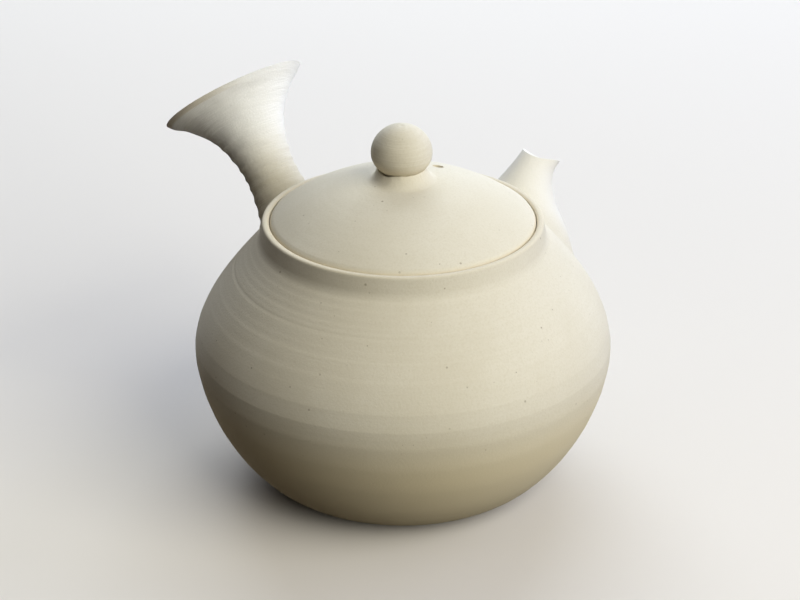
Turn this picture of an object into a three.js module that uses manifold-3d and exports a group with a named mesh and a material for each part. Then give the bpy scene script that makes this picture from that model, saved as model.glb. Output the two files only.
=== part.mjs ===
// A side-handled teapot (yokode kyusu) in unglazed cream stoneware: a round thrown pot with a short cut spout, a
// hollow trumpet handle, a pierced strainer behind the spout and a domed lid that drops into the rim.
// Millimetres and degrees, +Z up. The origin is the centre of the flat base, and +X points the way the spout pours.
import * as THREE from "three";
import { mergeVertices } from "three/addons/utils/BufferGeometryUtils.js";
import Module from "manifold-3d";

// The pot's outside: flat base, round belly, straight shoulder and a short collar under the rim.
const BASE_RADIUS = 33.5;
const BELLY_RADIUS = 60.1;
const BELLY_HEIGHT = 40.5;
const BELLY_ROUNDNESS = 1.65;
const SHOULDER_FULLNESS = 12;
const SHOULDER_RUN = 14;
const SHOULDER_SLOPE = 49;
const RIM_HEIGHT = 79.4;
const RIM_RADIUS = 40;
const COLLAR_HEIGHT = 4.4;
const COLLAR_WAIST = 0.5;
const LIP_WIDTH = 2.2;
const LIP_ROUND = 0.8;
const POT_WALL = 3.4;
const POT_FLOOR = 4.2;
const FLOOR_CORNER = 1;

// The gallery inside the rim: the ledge that the lid rests on, and the throat under it.
const GALLERY_DEPTH = 3.2;
const GALLERY_WIDTH = 3.4;
const THROAT_LENGTH = 4.4;

// The lid: an inset dome with a locating flange under it and a steam vent towards the spout.
const LID_SEAM = 0.35;
const LID_REST_GAP = 0.3;
const LID_RISE = 12.4;
const LID_ROUNDNESS = 2.25;
const LID_THICKNESS = 3.2;
const FLANGE_CLEARANCE = 0.6;
const FLANGE_WALL = 2.4;
const FLANGE_DROP = 5;
const VENT_DIAMETER = 3.2;
const VENT_OFFSET = 15.9;
const VENT_AZIMUTH = 3;

// The knob: a turned ball, a little flatter than round, on a short neck.
const KNOB_DIAMETER = 17.4;
const KNOB_BALL_HEIGHT = 16;
const KNOB_NECK_DIAMETER = 12.4;
const KNOB_NECK_LENGTH = 2.3;

// The spout: how far out from the rim its centreline leaves the shoulder, how it rises, the lean of its cut mouth,
// and half the depth and width of its oval sections from root to tip.
const SPOUT_SEAT_OUT = 10.7;
const SPOUT_ROOT_RISE = 76.5;
const SPOUT_TIP_RISE = 31.9;
const SPOUT_MOUTH_RISE = 60;
const SPOUT_ROOT_LEG = 13.1;
const SPOUT_TIP_LEG = 10.1;
const SPOUT_SUNK = 13.2;
const SPOUT_HALF_DEPTHS = [12.6, 13.7, 9.6, 7, 5.5];
const SPOUT_HALF_WIDTHS = [20.7, 17.4, 10.2, 6.1, 5.5];
const SPOUT_WALL = 1.8;

// The strainer: a pierced dome over the hole behind the spout.
const SPOUT_HOLE_DIAMETER = 19;
const STRAINER_DIAMETER = 27;
const STRAINER_BULGE = 6;
const STRAINER_SKIRT = 2;
const STRAINER_WALL = 2;
const STRAINER_HOLE_DIAMETER = 2.4;
const STRAINER_HOLE_PITCH = 4.2;
const STRAINER_HOLE_ROWS = 2;
const STRAINER_HOLES_A_ROW = 6;

// The handle: how far out from the rim its axis leaves the shoulder, how it rises, and its outer radii at distances
// along that axis.
const HANDLE_AZIMUTH = 85.8;
const HANDLE_RISE = 51.2;
const HANDLE_SEAT_OUT = 8.1;
const HANDLE_WALL = 2.4;
const HANDLE_STATIONS = [-13, -4.5, 4, 16, 28, 35.5, 40.2];
const HANDLE_RADII = [17, 11.9, 8.9, 7.9, 10.9, 16.6, 22.3];

// The slip joint between two pieces that are luted together.
const SLIP_GAP = 0.3;

// The length of a rod that cuts a hole right through a wall.
const CUT_LENGTH = 20;

// How finely round shapes are cut into flats.
const POT_SIDES = 56;
const SMALL_SIDES = 32;
const HOLE_SIDES = 10;
const VENT_SIDES = 16;
const OUTLINE_STEPS = 9;
const DOME_STEPS = 10;
const STRAINER_STEPS = 6;
const HANDLE_STEPS = 16;
const SPOUT_STEPS = 14;

const wasm = await Module();
wasm.setup();

const rad = THREE.MathUtils.degToRad;
const clay = new THREE.MeshStandardMaterial({ color: 0xe2dccb, roughness: 0.85, metalness: 0 });

// Values that several pieces share.
const COLLAR_FOOT = { r: RIM_RADIUS - COLLAR_WAIST, z: RIM_HEIGHT - COLLAR_HEIGHT };
const SEAT_RADIUS = RIM_RADIUS - LIP_WIDTH;
const LEDGE_HEIGHT = RIM_HEIGHT - GALLERY_DEPTH;
const MOUTH_RADIUS = SEAT_RADIUS - GALLERY_WIDTH;
const LID_RADIUS = SEAT_RADIUS - LID_SEAM;
const LID_UNDERSIDE = LEDGE_HEIGHT + LID_REST_GAP;
const FLANGE_RADIUS = MOUTH_RADIUS - FLANGE_CLEARANCE;
const KNOB_NECK_RADIUS = KNOB_NECK_DIAMETER / 2;

// A closed geometry as a solid that can be cut and joined, and back.
function solidOf(geometry) {
  const loose = geometry.index ? geometry.toNonIndexed() : geometry.clone();
  loose.deleteAttribute("normal");
  loose.deleteAttribute("uv");
  const merged = mergeVertices(loose, 1e-4);
  return new wasm.Manifold(
    new wasm.Mesh({
      numProp: 3,
      vertProperties: merged.attributes.position.array,
      triVerts: new Uint32Array(merged.index.array),
    }),
  );
}

function geometryOf(solid) {
  const mesh = solid.getMesh();
  const geometry = new THREE.BufferGeometry();
  geometry.setAttribute("position", new THREE.BufferAttribute(mesh.vertProperties, 3));
  geometry.setIndex(new THREE.BufferAttribute(mesh.triVerts, 1));
  return geometry;
}

// A profile of [radius, height] points spun about +Z. It runs up the outside and comes back down the inside.
function spin(profile, sides) {
  const points = profile.map(([r, z]) => new THREE.Vector2(r, z));
  return new THREE.LatheGeometry(points, sides).rotateX(Math.PI / 2);
}

// Even fractions from 0 to 1, both ends included.
function fractions(steps) {
  return Array.from({ length: steps + 1 }, (_, i) => i / steps);
}

// The outline from the base edge to the collar's foot: a rounded belly, then a shoulder curve.
function outerOutline() {
  const belly = fractions(OUTLINE_STEPS).map((t) => {
    const angle = (t * Math.PI) / 2;
    const out = Math.sin(angle) ** (2 / BELLY_ROUNDNESS);
    const down = Math.max(Math.cos(angle), 0) ** (2 / BELLY_ROUNDNESS);
    return [BASE_RADIUS + (BELLY_RADIUS - BASE_RADIUS) * out, BELLY_HEIGHT * (1 - down)];
  });
  const slope = rad(SHOULDER_SLOPE);
  const shoulder = new THREE.CubicBezierCurve(
    new THREE.Vector2(BELLY_RADIUS, BELLY_HEIGHT),
    new THREE.Vector2(BELLY_RADIUS, BELLY_HEIGHT + SHOULDER_FULLNESS),
    new THREE.Vector2(
      COLLAR_FOOT.r + SHOULDER_RUN * Math.cos(slope),
      COLLAR_FOOT.z - SHOULDER_RUN * Math.sin(slope),
    ),
    new THREE.Vector2(COLLAR_FOOT.r, COLLAR_FOOT.z),
  );
  return [...belly, ...shoulder.getPoints(OUTLINE_STEPS).slice(1).map((p) => [p.x, p.y])];
}

const OUTLINE = outerOutline();

// The outline moved along its own normal: outwards for a positive distance, inwards for a negative one.
function offsetOutline(distance) {
  return OUTLINE.map(([r, z], i) => {
    const [r0, z0] = OUTLINE[Math.max(i - 1, 0)];
    const [r1, z1] = OUTLINE[Math.min(i + 1, OUTLINE.length - 1)];
    const length = Math.hypot(r1 - r0, z1 - z0);
    return [r + (distance * (z1 - z0)) / length, z - (distance * (r1 - r0)) / length];
  });
}

// A point on the shoulder at a distance out from the rim, with the shoulder's outward normal, in the XZ plane.
function shoulderSeat(out) {
  const r = RIM_RADIUS + out;
  const i = OUTLINE.findIndex(([radius], k) => k > OUTLINE_STEPS && radius <= r);
  const [r0, z0] = OUTLINE[i - 1];
  const [r1, z1] = OUTLINE[i];
  const z = z0 + ((z1 - z0) * (r - r0)) / (r1 - r0);
  return { point: new THREE.Vector3(r, 0, z), normal: new THREE.Vector3(z1 - z0, 0, r0 - r1).normalize() };
}

const SPOUT_SEAT = shoulderSeat(SPOUT_SEAT_OUT);
const HANDLE_SEAT = shoulderSeat(HANDLE_SEAT_OUT);

// The space inside the pot's wall, drawn in by a gap.
function innerSpace(gap) {
  const floor = POT_FLOOR + gap;
  const wall = offsetOutline(-POT_WALL - gap).filter(([, z]) => z > floor && z < COLLAR_FOOT.z - POT_WALL);
  const profile = [[0, floor], [wall[0][0], floor], ...wall, [0, wall.at(-1)[1]]];
  return solidOf(spin(profile, POT_SIDES));
}

// Everything that the pot and the column over its mouth take up, grown by a gap.
function outerSpace(gap) {
  const above = RIM_HEIGHT + LID_RISE + KNOB_BALL_HEIGHT;
  const side = RIM_RADIUS + gap;
  const profile = [[0, -gap], ...offsetOutline(gap), [side, COLLAR_FOOT.z + gap], [side, above], [0, above]];
  return solidOf(spin(profile, POT_SIDES));
}

// Turns a shape made along +Z so that it points along a direction and starts at a point.
function aim(geometry, point, direction) {
  const turn = new THREE.Quaternion().setFromUnitVectors(new THREE.Vector3(0, 0, 1), direction);
  return geometry.applyQuaternion(turn).translate(point.x, point.y, point.z);
}

function rod(diameter, length, sides) {
  return new THREE.CylinderGeometry(diameter / 2, diameter / 2, length, sides).rotateX(Math.PI / 2);
}

function potBody() {
  const ledgeFoot = LEDGE_HEIGHT - THROAT_LENGTH;
  const inside = offsetOutline(-POT_WALL).filter(([, z]) => z > POT_FLOOR && z < ledgeFoot);
  const profile = [
    [0, 0],
    ...OUTLINE,
    [RIM_RADIUS - COLLAR_WAIST, RIM_HEIGHT - 2 * LIP_ROUND],
    [RIM_RADIUS, RIM_HEIGHT - LIP_ROUND],
    [RIM_RADIUS - LIP_ROUND, RIM_HEIGHT],
    [SEAT_RADIUS, RIM_HEIGHT],
    [SEAT_RADIUS, LEDGE_HEIGHT],
    [MOUTH_RADIUS, LEDGE_HEIGHT],
    [MOUTH_RADIUS, ledgeFoot],
    ...inside.reverse(),
    [inside.at(-1)[0] - FLOOR_CORNER, POT_FLOOR],
    [0, POT_FLOOR],
  ];
  const hole = aim(rod(SPOUT_HOLE_DIAMETER, CUT_LENGTH, SMALL_SIDES), SPOUT_SEAT.point, SPOUT_SEAT.normal);
  return solidOf(spin(profile, POT_SIDES)).subtract(solidOf(hole));
}

// A direction in the XZ plane at an angle above +X.
function rising(angle) {
  return new THREE.Vector3(Math.cos(rad(angle)), 0, Math.sin(rad(angle)));
}

// The spout's centreline: sunk into the shoulder, then bending out towards the tip.
function spoutCentreline() {
  const bend = SPOUT_SEAT.point.clone().addScaledVector(rising(SPOUT_ROOT_RISE), SPOUT_ROOT_LEG);
  return new THREE.QuadraticBezierCurve3(
    SPOUT_SEAT.point.clone().addScaledVector(rising(SPOUT_ROOT_RISE), -SPOUT_SUNK),
    bend,
    bend.clone().addScaledVector(rising(SPOUT_TIP_RISE), SPOUT_TIP_LEG),
  );
}

// A smooth run through values that stand at even fractions of a length.
function run(values) {
  const curve = new THREE.SplineCurve(values.map((value, i) => new THREE.Vector2(i / (values.length - 1), value)));
  return (t) => curve.getPoint(t).y;
}

// A tapered oval tube round the centreline, which runs straight on past the tip.
function spoutTube(inset, past) {
  const centreline = spoutCentreline();
  const depth = run(SPOUT_HALF_DEPTHS);
  const width = run(SPOUT_HALF_WIDTHS);
  const stations = [...fractions(SPOUT_STEPS).map((t) => ({ t, over: 0 })), { t: 1, over: past }];
  const rings = stations.map(({ t, over }) => {
    const along = centreline.getTangent(t);
    const centre = centreline.getPoint(t).addScaledVector(along, over);
    return fractions(SMALL_SIDES).slice(1).map((share) => {
      const angle = share * 2 * Math.PI;
      const out = (depth(t) - inset) * Math.cos(angle);
      const across = (width(t) - inset) * Math.sin(angle);
      return new THREE.Vector3(centre.x + out * along.z, across, centre.z - out * along.x);
    });
  });
  return loft(rings);
}

// A solid through rings of points, closed at both ends with a fan.
function loft(rings) {
  const corners = [];
  const face = (...points) => points.forEach((p) => corners.push(p.x, p.y, p.z));
  const middle = (ring) => ring.reduce((sum, p) => sum.add(p), new THREE.Vector3()).divideScalar(ring.length);
  rings.slice(1).forEach((upper, i) => {
    const lower = rings[i];
    lower.forEach((p, j) => {
      const k = (j + 1) % lower.length;
      face(p, lower[k], upper[k]);
      face(p, upper[k], upper[j]);
    });
  });
  const first = rings[0];
  const last = rings.at(-1);
  first.forEach((p, j) => {
    const k = (j + 1) % first.length;
    face(middle(first), first[k], p);
    face(middle(last), last[j], last[k]);
  });
  const geometry = new THREE.BufferGeometry();
  geometry.setAttribute("position", new THREE.Float32BufferAttribute(corners, 3));
  return solidOf(geometry);
}

// The tube, bored out, trimmed to the pot and sliced off at a lean to open its mouth.
function spout() {
  const past = SPOUT_HALF_DEPTHS.at(-1);
  const slice = new THREE.BoxGeometry(CUT_LENGTH, CUT_LENGTH, CUT_LENGTH).translate(0, 0, CUT_LENGTH / 2);
  return spoutTube(0, past)
    .subtract(spoutTube(SPOUT_WALL, 2 * past))
    .subtract(outerSpace(SLIP_GAP))
    .subtract(solidOf(aim(slice, spoutCentreline().getPoint(1), rising(SPOUT_MOUTH_RISE))));
}

// A cap of a ball that bulges into the pot, pierced by rings of holes and trimmed to the inside of the wall.
function strainer() {
  const halfWidth = STRAINER_DIAMETER / 2;
  const ballRadius = (halfWidth ** 2 + STRAINER_BULGE ** 2) / (2 * STRAINER_BULGE);
  const lift = ballRadius - STRAINER_BULGE - POT_WALL;
  const centre = SPOUT_SEAT.point.clone().addScaledVector(SPOUT_SEAT.normal, lift);
  const reach = Math.asin(Math.min((halfWidth + STRAINER_SKIRT) / ballRadius, 1));
  const arc = (radius) =>
    fractions(STRAINER_STEPS).map((t) => [radius * Math.sin(reach * t), -radius * Math.cos(reach * t)]);
  const profile = [...arc(ballRadius), ...arc(ballRadius - STRAINER_WALL).reverse()];
  const place = (geometry) => aim(geometry, centre, SPOUT_SEAT.normal);
  let dome = solidOf(place(spin(profile, SMALL_SIDES))).intersect(innerSpace(SLIP_GAP));
  for (let row = 0; row <= STRAINER_HOLE_ROWS; row++) {
    const count = row === 0 ? 1 : STRAINER_HOLES_A_ROW * row;
    for (let i = 0; i < count; i++) {
      const lean = (row * STRAINER_HOLE_PITCH) / ballRadius;
      const pin = rod(STRAINER_HOLE_DIAMETER, CUT_LENGTH, HOLE_SIDES).translate(0, 0, -ballRadius);
      pin.rotateX(lean).rotateZ((2 * Math.PI * i) / count);
      dome = dome.subtract(solidOf(place(pin)));
    }
  }
  return dome;
}

// A trumpet turned about +Z, leaned over to its rise, swung to its azimuth and set on the shoulder.
function handle() {
  const curve = (inset) => {
    const points = HANDLE_STATIONS.map((along, i) => new THREE.Vector2(HANDLE_RADII[i] - inset, along));
    return new THREE.SplineCurve(points).getPoints(HANDLE_STEPS).map((p) => [p.x, p.y]);
  };
  const profile = [...curve(0), ...curve(HANDLE_WALL).reverse()];
  const trumpet = spin([...profile, profile[0]], SMALL_SIDES)
    .rotateY(rad(90 - HANDLE_RISE))
    .translate(HANDLE_SEAT.point.x, 0, HANDLE_SEAT.point.z)
    .rotateZ(rad(HANDLE_AZIMUTH));
  return solidOf(trumpet).subtract(outerSpace(SLIP_GAP));
}

// The top of the lid's dome at a distance from its centre.
function domeHeight(r) {
  return RIM_HEIGHT + LID_RISE * (1 - (r / LID_RADIUS) ** LID_ROUNDNESS);
}

const KNOB_SEAT_HEIGHT = domeHeight(KNOB_NECK_RADIUS);

function lid() {
  const inner = FLANGE_RADIUS - FLANGE_WALL;
  const under = fractions(DOME_STEPS / 2).map((t) => [inner * t, domeHeight(inner * t) - LID_THICKNESS]);
  const dome = fractions(DOME_STEPS).map((t) => {
    const r = LID_RADIUS + (KNOB_NECK_RADIUS - LID_RADIUS) * t;
    return [r, domeHeight(r)];
  });
  const profile = [
    ...under,
    [inner, LEDGE_HEIGHT - FLANGE_DROP],
    [FLANGE_RADIUS, LEDGE_HEIGHT - FLANGE_DROP],
    [FLANGE_RADIUS, LID_UNDERSIDE],
    [LID_RADIUS, LID_UNDERSIDE],
    ...dome,
    [0, KNOB_SEAT_HEIGHT],
  ];
  const azimuth = rad(VENT_AZIMUTH);
  const vent = rod(VENT_DIAMETER, CUT_LENGTH, VENT_SIDES).translate(
    VENT_OFFSET * Math.cos(azimuth),
    VENT_OFFSET * Math.sin(azimuth),
    domeHeight(VENT_OFFSET),
  );
  return solidOf(spin(profile, POT_SIDES)).subtract(solidOf(vent));
}

function knob() {
  const ballRadius = KNOB_DIAMETER / 2;
  const halfHeight = KNOB_BALL_HEIGHT / 2;
  const start = Math.acos(KNOB_NECK_RADIUS / ballRadius);
  const foot = KNOB_SEAT_HEIGHT + SLIP_GAP;
  const centre = foot + KNOB_NECK_LENGTH + halfHeight * Math.sin(start);
  const ball = fractions(DOME_STEPS).map((t) => {
    const angle = -start + (Math.PI / 2 + start) * t;
    return [t === 1 ? 0 : ballRadius * Math.cos(angle), centre + halfHeight * Math.sin(angle)];
  });
  return solidOf(spin([[0, foot], [KNOB_NECK_RADIUS, foot], ...ball], SMALL_SIDES));
}

function piece(name, solid) {
  const mesh = new THREE.Mesh(geometryOf(solid), clay);
  mesh.name = name;
  return mesh;
}

const kyusu = new THREE.Group();
kyusu.add(
  piece("pot_body", potBody()),
  piece("spout", spout()),
  piece("handle", handle()),
  piece("tea_strainer", strainer()),
  piece("lid", lid()),
  piece("lid_knob", knob()),
);

export default kyusu;
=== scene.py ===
"""A side-handled teapot in unglazed cream stoneware, modelled over its solids and set on a pale floor."""

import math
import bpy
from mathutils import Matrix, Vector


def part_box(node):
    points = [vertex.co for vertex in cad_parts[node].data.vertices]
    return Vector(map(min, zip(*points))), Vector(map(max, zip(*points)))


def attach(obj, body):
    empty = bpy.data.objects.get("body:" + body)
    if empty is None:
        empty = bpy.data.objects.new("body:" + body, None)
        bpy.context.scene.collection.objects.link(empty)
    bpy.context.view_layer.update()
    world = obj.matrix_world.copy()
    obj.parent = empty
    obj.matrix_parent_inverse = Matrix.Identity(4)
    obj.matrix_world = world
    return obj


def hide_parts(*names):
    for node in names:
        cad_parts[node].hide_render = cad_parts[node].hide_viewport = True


bl_info = {
    "name": "Kyusu",
    "version": (1, 0, 0),
    "blender": (4, 5, 0),
    "location": "View3D > Sidebar > Kyusu",
    "description": "Builds a thrown side-handled teapot with its lid, spout, handle and strainer",
    "category": "Object",
}

import bmesh
import bpy
import numpy as np
from bpy.props import FloatProperty, FloatVectorProperty, IntProperty, PointerProperty
from mathutils import Matrix, Vector, noise

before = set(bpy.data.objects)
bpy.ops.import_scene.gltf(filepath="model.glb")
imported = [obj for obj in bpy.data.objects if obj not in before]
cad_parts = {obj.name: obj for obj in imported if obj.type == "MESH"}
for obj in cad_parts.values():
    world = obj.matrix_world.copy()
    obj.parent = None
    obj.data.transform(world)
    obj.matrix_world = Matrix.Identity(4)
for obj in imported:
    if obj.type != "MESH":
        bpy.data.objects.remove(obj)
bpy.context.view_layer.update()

MM = 0.001
POT_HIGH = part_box("pot_body")[1]
LID_LOW, LID_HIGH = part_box("lid")
KNOB_LOW, KNOB_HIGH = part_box("lid_knob")

# The spout's centreline in its own upright plane, as distance out and height, and the half depths and
# half widths of its oval sections from root to tip.
SPOUT_LINE = ((47.62, 48.73), (53.76, 74.3), (62.33, 79.64))
SPOUT_HALF_DEPTHS = (12.6, 13.7, 9.6, 7.0, 5.5)
SPOUT_HALF_WIDTHS = (20.7, 17.4, 10.2, 6.1, 5.5)

# The handle's outer radius at distances along its axis from the shoulder.
HANDLE_STATIONS = (-13, -4.5, 4, 16, 28, 35.5, 40.2)
HANDLE_RADII = (17, 11.9, 8.9, 7.9, 10.9, 16.6, 22.3)

# Lines that the potter's fingers and rib left round the pot: height, depth, half width and how steep
# the lower side is.
POT_LINES = (
    (75.0, 0.03, 0.35, 1.0),
    (72.9, 0.04, 0.8, 1.5),
    (71.0, 0.05, 0.9, 2.0),
    (69.2, 0.04, 0.8, 1.5),
    (67.5, 0.05, 0.9, 2.0),
    (66.2, 0.03, 0.7, 1.5),
    (65.0, 0.05, 0.26, 1.0),
    (64.7, 0.04, 0.9, 3.0),
    (62.3, 0.04, 1.2, 2.0),
    (60.2, 0.06, 1.6, 2.8),
    (58.3, 0.03, 1.0, 1.5),
    (56.1, 0.045, 1.7, 2.0),
    (52.9, 0.04, 1.6, 2.0),
)

# Heights where one trimmed band of the lower wall meets the next, and how far each band sinks between them.
POT_BANDS = (
    (52.9, 47.7, 0.05), (47.7, 42.8, 0.07), (42.8, 37.6, 0.1),
    (37.6, 30.5, 0.08), (30.5, 22, 0.06), (22, 13, 0.05),
)

# The belly's fullness, and the slope and straight run of the shoulder below the collar.
BELLY_ROUNDNESS = 1.65
SHOULDER_SLOPE = math.radians(49)
SHOULDER_RUN = 0.014

# The gallery inside the rim: how deep its ledge lies, how wide and how thick it is.
LEDGE_DEPTH = 0.0032
LEDGE_WIDTH = 0.0034
LEDGE_THICKNESS = 0.0044

# How far from the upright axis the handle and the strainer sit on the shoulder, and the spout's length.
HANDLE_SEAT_RADIUS = 0.0481
STRAINER_SEAT_RADIUS = 0.0507
SPOUT_LENGTH = 0.0345

# How far the skins of spout and handle are followed at most, down from their mouths.
SPOUT_REACH = 0.06
HANDLE_REACH = 0.08

# How deep the hollow of the handle is, and how far both hollows end under the pot's outer wall.
HANDLE_HOLLOW = 0.052
BORE_SUNK = 0.0006

# How far the wall draws back under a luted piece, over what width, and how far round it the lines die out.
SINK_DEPTH = 0.0005
SINK_FADE = 0.0016
CALM_WIDTH = 0.004

# The knob was luted on a little beside the middle of the lid, towards the handle.
KNOB_SHIFT = (-0.00028, 0.00031, 0)

# The sides of the slip that face the light and the crack, and the side of the handle's mouth that
# flares out most.
LIGHT_SIDE = math.radians(-48)
CRACK_SIDE = math.radians(172)
FLARE_SIDE = 2.3


def measure(name, description, default, low, high, unit="LENGTH"):
    """A property that holds a length, or a number with another unit."""
    return FloatProperty(name=name, description=description, default=default, min=low, max=high, unit=unit)


def colour(name, description, default):
    """A property that holds a colour."""
    return FloatVectorProperty(
        name=name, description=description, default=default, subtype="COLOR", size=3, min=0.0, max=1.0
    )


class KyusuPot(bpy.types.PropertyGroup):
    """Sizes of the thrown pot."""

    rim_height: measure("Rim height", "From the table to the top of the rim", POT_HIGH.z, 0.04, 0.15)
    rim_radius: measure("Rim radius", "Outer radius of the rim", 0.040, 0.02, 0.08)
    belly_radius: measure("Belly radius", "Radius at the widest place", POT_HIGH.x, 0.03, 0.12)
    belly_height: measure("Belly height", "Height of the widest place", 0.0405, 0.01, 0.1)
    base_radius: measure("Base radius", "Radius of the flat base", 0.0335, 0.01, 0.08)
    collar_height: measure(
        "Collar height", "From the collar's foot to the top of the rim",
        0.0044, 0.001, 0.02,
    )
    lip_width: measure("Lip width", "Width of the rim round the lid", 0.0022, 0.001, 0.006)
    wall: measure("Wall", "Thickness of the pot's wall", 0.0034, 0.002, 0.008)
    floor: measure("Floor", "Thickness of the pot's floor", 0.0042, 0.002, 0.01)
    line_depth: measure(
        "Throwing lines", "How deep the throwing lines are cut, against the photographed ones",
        1.0, 0.0, 3.0, "NONE",
    )
    sides: IntProperty(name="Sides", description="Steps round the pot", default=256, min=48, max=400)


class KyusuSpout(bpy.types.PropertyGroup):
    """Sizes of the spout and the strainer behind it."""

    wall: measure("Wall", "Thickness of the spout's wall", 0.0018, 0.001, 0.004)
    fillet: measure(
        "Luting fillet", "How far the joint with the shoulder is smoothed out",
        0.0076, 0.001, 0.012,
    )
    mouth_rise: measure(
        "Mouth lean", "Which way the cut mouth faces, above level",
        math.radians(57), 0.0, math.radians(90), "ROTATION",
    )
    hole_diameter: measure("Strainer hole", "Diameter of each hole in the strainer", 0.0024, 0.001, 0.004)
    hole_pitch: measure("Hole pitch", "Distance between the rings of holes", 0.0042, 0.002, 0.008)


class KyusuHandle(bpy.types.PropertyGroup):
    """Sizes of the hollow trumpet handle."""

    azimuth: measure(
        "Azimuth", "Angle from the spout to the handle",
        math.radians(85.8), 0.0, math.radians(180), "ROTATION",
    )
    rise: measure(
        "Rise", "How steeply the handle stands up",
        math.radians(51.2), 0.0, math.radians(90), "ROTATION",
    )
    wall: measure("Wall", "Thickness of the handle's wall", 0.0024, 0.001, 0.005)
    fillet: measure(
        "Luting fillet", "How far the joint with the shoulder is smoothed out",
        0.0045, 0.001, 0.012,
    )
    ridge_depth: measure("Ridge depth", "Depth of the finger ridges round the handle", 0.00028, 0.0, 0.001)
    ridge_pitch: measure("Ridge pitch", "Distance from one finger ridge to the next", 0.0036, 0.001, 0.01)


class KyusuLid(bpy.types.PropertyGroup):
    """Sizes of the lid and its knob."""

    rise: measure("Dome rise", "From the rim to the top of the dome", 0.0124, 0.002, 0.03)
    roundness: measure("Dome roundness", "2 is a round dome, more is a flatter top", 2.25, 1.5, 4.0, "NONE")
    thickness: measure("Thickness", "Thickness of the dome", 0.0032, 0.001, 0.006)
    flange_drop: measure(
        "Flange drop", "How far the flange reaches down into the mouth",
        0.005, 0.001, 0.012,
    )
    vent_diameter: measure("Vent", "Diameter of the steam vent", 0.0032, 0.001, 0.006)
    vent_offset: measure("Vent offset", "From the middle of the lid to the vent", 0.0159, 0.01, 0.03)
    knob_radius: measure("Knob radius", "Radius of the knob's ball", KNOB_HIGH.x + 0.0001, 0.004, 0.02)
    neck_radius: measure("Neck radius", "Radius of the knob's neck", 0.0063, 0.003, 0.01)


class KyusuClay(bpy.types.PropertyGroup):
    """Colours and surface of the fired clay, with the colours that paint light and shade onto it."""

    body: colour("Clay", "The fired clay's main colour", (0.72, 0.67, 0.545))
    shade: colour("Darker clay", "The colour of its darker, sandier patches", (0.62, 0.56, 0.42))
    # Mostly painted shade: this colour darkens the rim's inner edge by the lid, the lid's edge and vent, one
    # side of the handle's mouth and the knob's underside; only its light tint over the pot's rim top is the
    # clay's own.
    lip: colour("Lip", "The warmer colour of edges that were touched while wet", (0.66, 0.56, 0.385))
    # Painted light: this pale colour, washed over the spout and the handle's flare, stands in for the brighter
    # light that falls on them.
    pale: colour("Dry clay", "The paler colour of the spout and of the handle's flare", (0.92, 0.91, 0.87))
    # Painted bounce light: this warm colour, washed over the lower wall, stands in for warm light thrown up
    # from below.
    warm: colour("Warm clay", "The warmer colour of the trimmed lower wall", (0.74, 0.64, 0.42))
    speck: colour("Specks", "The colour of the iron specks", (0.2, 0.145, 0.08))
    grain: measure("Grain", "How rough the fired surface feels", 1.0, 0.0, 3.0, "NONE")
    streaks: measure("Streaks", "How strong the fine turning streaks are", 1.0, 0.0, 3.0, "NONE")


class KyusuStage(bpy.types.PropertyGroup):
    """The floor, the lamps and the camera."""

    floor: colour("Floor", "The floor's colour", (0.75, 0.705, 0.64))
    bounce: colour(
        "Floor's bounce", "The colour of the light that the floor throws back at the pot",
        (0.045, 0.031, 0.018),
    )
    sky: measure("Sky", "Strength of the even light from all round", 0.01, 0.0, 2.0, "NONE")
    front: measure("Front lamp", "Power of the lamp before the pot", 23.0, 0.0, 1000.0, "POWER")
    back: measure("Back lamp", "Power of the lamp behind the pot", 23.0, 0.0, 1000.0, "POWER")
    side: measure("Side lamp", "Power of the low lamp at the side", 11.4, 0.0, 1000.0, "POWER")
    left: measure("Left lamp", "Power of the high lamp beyond the handle", 3.1, 0.0, 1000.0, "POWER")


def spline(values, at):
    """A smooth run through values that stand at even fractions from 0 to 1."""
    values = np.asarray(values, float)
    at = np.clip(np.asarray(at, float), 0, 1) * (len(values) - 1)
    i = np.minimum(at.astype(int), len(values) - 2)
    f = at - i
    before = values[np.maximum(i - 1, 0)]
    low = values[i]
    high = values[i + 1]
    after = values[np.minimum(i + 2, len(values) - 1)]
    return 0.5 * (
        2 * low
        + (high - before) * f
        + (2 * before - 5 * low + 4 * high - after) * f**2
        + (3 * low - before - 3 * high + after) * f**3
    )


def bezier(corners, t):
    """Points at a column of fractions along the curve from the first corner to the last."""
    if len(corners) == 1:
        return corners[0]
    return (1 - t) * bezier(corners[:-1], t) + t * bezier(corners[1:], t)


def unit(run):
    """A flat direction made 1 long."""
    return run / np.hypot(*run)


def smooth_step(x):
    """An eased run from 0 to 1."""
    x = np.clip(x, 0, 1)
    return x * x * (3 - 2 * x)


def pot_outline(pot, steps=136):
    """Radius and height from the base edge up over the shoulder to the hollow at the collar's foot."""
    angle = np.linspace(0.06, math.pi / 2, steps // 2)
    out = np.sin(angle) ** (2 / BELLY_ROUNDNESS)
    down = np.maximum(np.cos(angle), 0) ** (2 / BELLY_ROUNDNESS)
    belly = np.stack(
        [pot.base_radius + (pot.belly_radius - pot.base_radius) * out, pot.belly_height * (1 - down)], 1
    )
    foot = np.array([pot.rim_radius - 0.0005, pot.rim_height - pot.collar_height])
    corners = [
        np.array([pot.belly_radius, pot.belly_height]),
        np.array([pot.belly_radius, pot.belly_height + 0.012]),
        foot + SHOULDER_RUN * np.array([math.cos(SHOULDER_SLOPE), -math.sin(SHOULDER_SLOPE)]),
        foot,
    ]
    shoulder = bezier(corners, np.linspace(0, 1, steps + steps // 2)[1:, None])
    below_collar = 0.0032
    shoulder = shoulder[np.hypot(*(shoulder - foot).T) > below_collar]
    bend = foot + np.array([0.00122, -0.00141])
    wall_foot = foot + np.array([0.00102, -0.0001])
    hollow = bezier([shoulder[-1], bend, wall_foot], np.linspace(0, 1, steps // 10)[1:, None])
    return np.vstack([belly, shoulder, hollow])


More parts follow.
